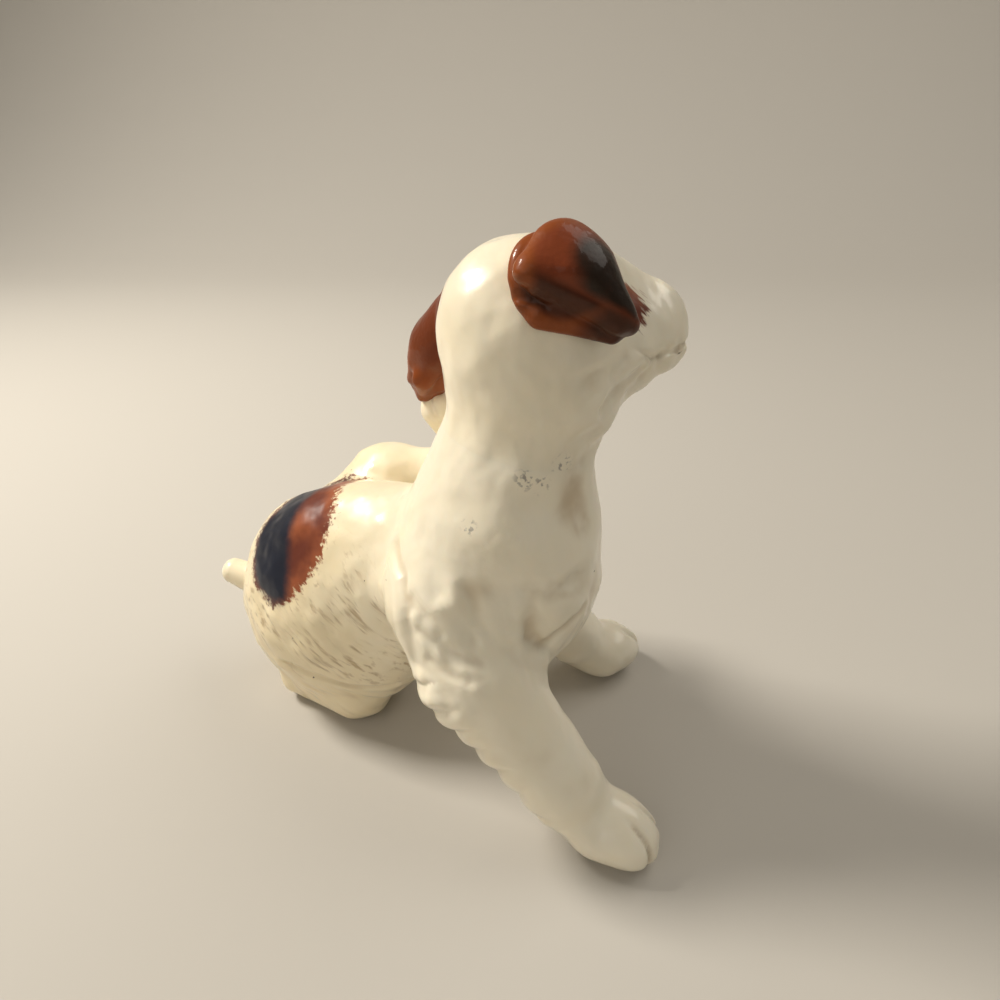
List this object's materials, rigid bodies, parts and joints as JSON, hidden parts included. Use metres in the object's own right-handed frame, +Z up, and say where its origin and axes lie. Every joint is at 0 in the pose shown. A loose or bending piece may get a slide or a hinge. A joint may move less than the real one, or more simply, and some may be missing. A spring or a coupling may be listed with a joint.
{
  "type": "porcelain dog figurine",
  "caption": "Glazed porcelain puppy ornament, seated with its head turned, scratching its left ear with a raised hind leg; white coat, red-brown ears, patch on the rump.",
  "frame": {"origin": "on the table, under the middle of the figure's outline", "axes": "+X the way the chest faces, +Y the animal's left side, +Z up"},
  "size_m": [0.146, 0.0936, 0.1506],
  "materials": {
    "white_glaze": "creamy white gloss glaze over slip-cast porcelain, with hand-painted patches",
    "brown_glaze": "red-brown airbrushed colour under clear gloss glaze"
  },
  "bodies": {
    "root": {"body": "white_glaze", "head": "white_glaze", "right_ear": "brown_glaze", "left_ear": "brown_glaze", "right_front_leg": "white_glaze", "left_front_leg": "white_glaze", "left_hind_leg": "white_glaze", "left_hind_paw": "white_glaze", "tail": "white_glaze"}
  },
  "joints": []
}
